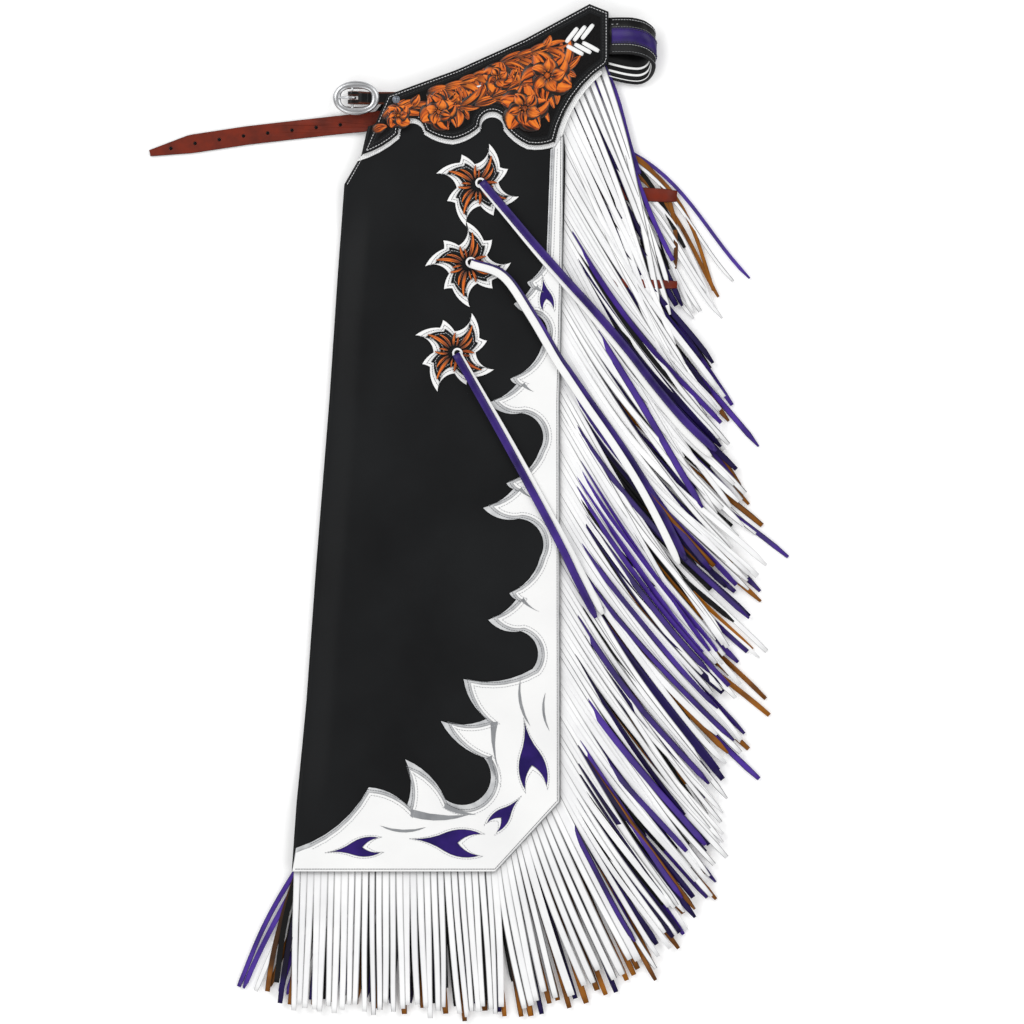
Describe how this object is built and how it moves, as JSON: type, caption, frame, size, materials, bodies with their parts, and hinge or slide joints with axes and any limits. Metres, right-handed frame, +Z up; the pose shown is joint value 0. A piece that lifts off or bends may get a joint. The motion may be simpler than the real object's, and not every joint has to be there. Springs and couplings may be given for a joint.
{
  "type": "leather chaps",
  "caption": "Fringed western riding chaps in black leather with a white scrolled border, folded in half at the back belt and laid flat.",
  "frame": {"origin": "on the resting face of the lower leg, about the middle of the whole part seen from above", "axes": "+Z up from the surface it lies on, +Y to the waist, +X to the fringed wing edge"},
  "size_m": [0.6514, 1.0636, 0.0223],
  "materials": {
    "black_leather": "smooth, semi-matt",
    "white_leather": "smooth, matt",
    "purple_leather": "smooth, matt",
    "brown_leather": "suede",
    "strap_leather": "oiled",
    "tooled_leather": "tooled and dyed",
    "silver_leather": "metallic foil",
    "chromed_metal": "polished"
  },
  "bodies": {
    "garment": {"back_belt": "black_leather", "belt_stripe": "purple_leather", "billet": "strap_leather", "border_base": "silver_leather", "border_top": "white_leather", "buckle_frame": "chromed_metal", "buckle_rivet": "chromed_metal", "buckle_tab": "black_leather", "fringe_brown_corner": "brown_leather", "fringe_brown_hem": "brown_leather", "fringe_brown_side": "brown_leather", "fringe_purple_hem": "purple_leather", "fringe_purple_lower": "purple_leather", "fringe_purple_upper": "purple_leather", "fringe_white_corner": "white_leather", "fringe_white_hem": "white_leather", "fringe_white_lower": "white_leather", "fringe_white_middle": "white_leather", "fringe_white_top": "white_leather", "inlay_1": "purple_leather", "inlay_2": "purple_leather", "inlay_3": "purple_leather", "inlay_4": "purple_leather", "inlay_5": "purple_leather", "leg_strap_lower": "strap_leather", "leg_strap_upper": "strap_leather", "rosette_1_base": "silver_leather", "rosette_1_middle": "black_leather", "rosette_1_top": "tooled_leather", "rosette_2_base": "silver_leather", "rosette_2_middle": "black_leather", "rosette_2_top": "tooled_leather", "rosette_3_base": "silver_leather", "rosette_3_middle": "black_leather", "rosette_3_top": "tooled_leather", "string_1_purple": "purple_leather", "string_1_white": "white_leather", "string_2_purple": "purple_leather", "string_2_white": "white_leather", "string_3_purple": "purple_leather", "string_3_white": "white_leather", "top_leg": "black_leather", "under_fringe_hem": "white_leather", "under_fringe_lower": "purple_leather", "under_fringe_upper": "white_leather", "under_leg": "black_leather", "yoke": "black_leather", "yoke_lacing": "white_leather", "yoke_piping": "white_leather"},
    "prong": {"buckle_prong": "chromed_metal"}
  },
  "joints": [
    {"name": "prong_hinge", "type": "hinge", "parent": "garment", "child": "prong", "pos_m": [-0.114, 0.431, 0.0158], "axis": [0, 1, 0], "range_deg": [0, 95]}
  ]
}
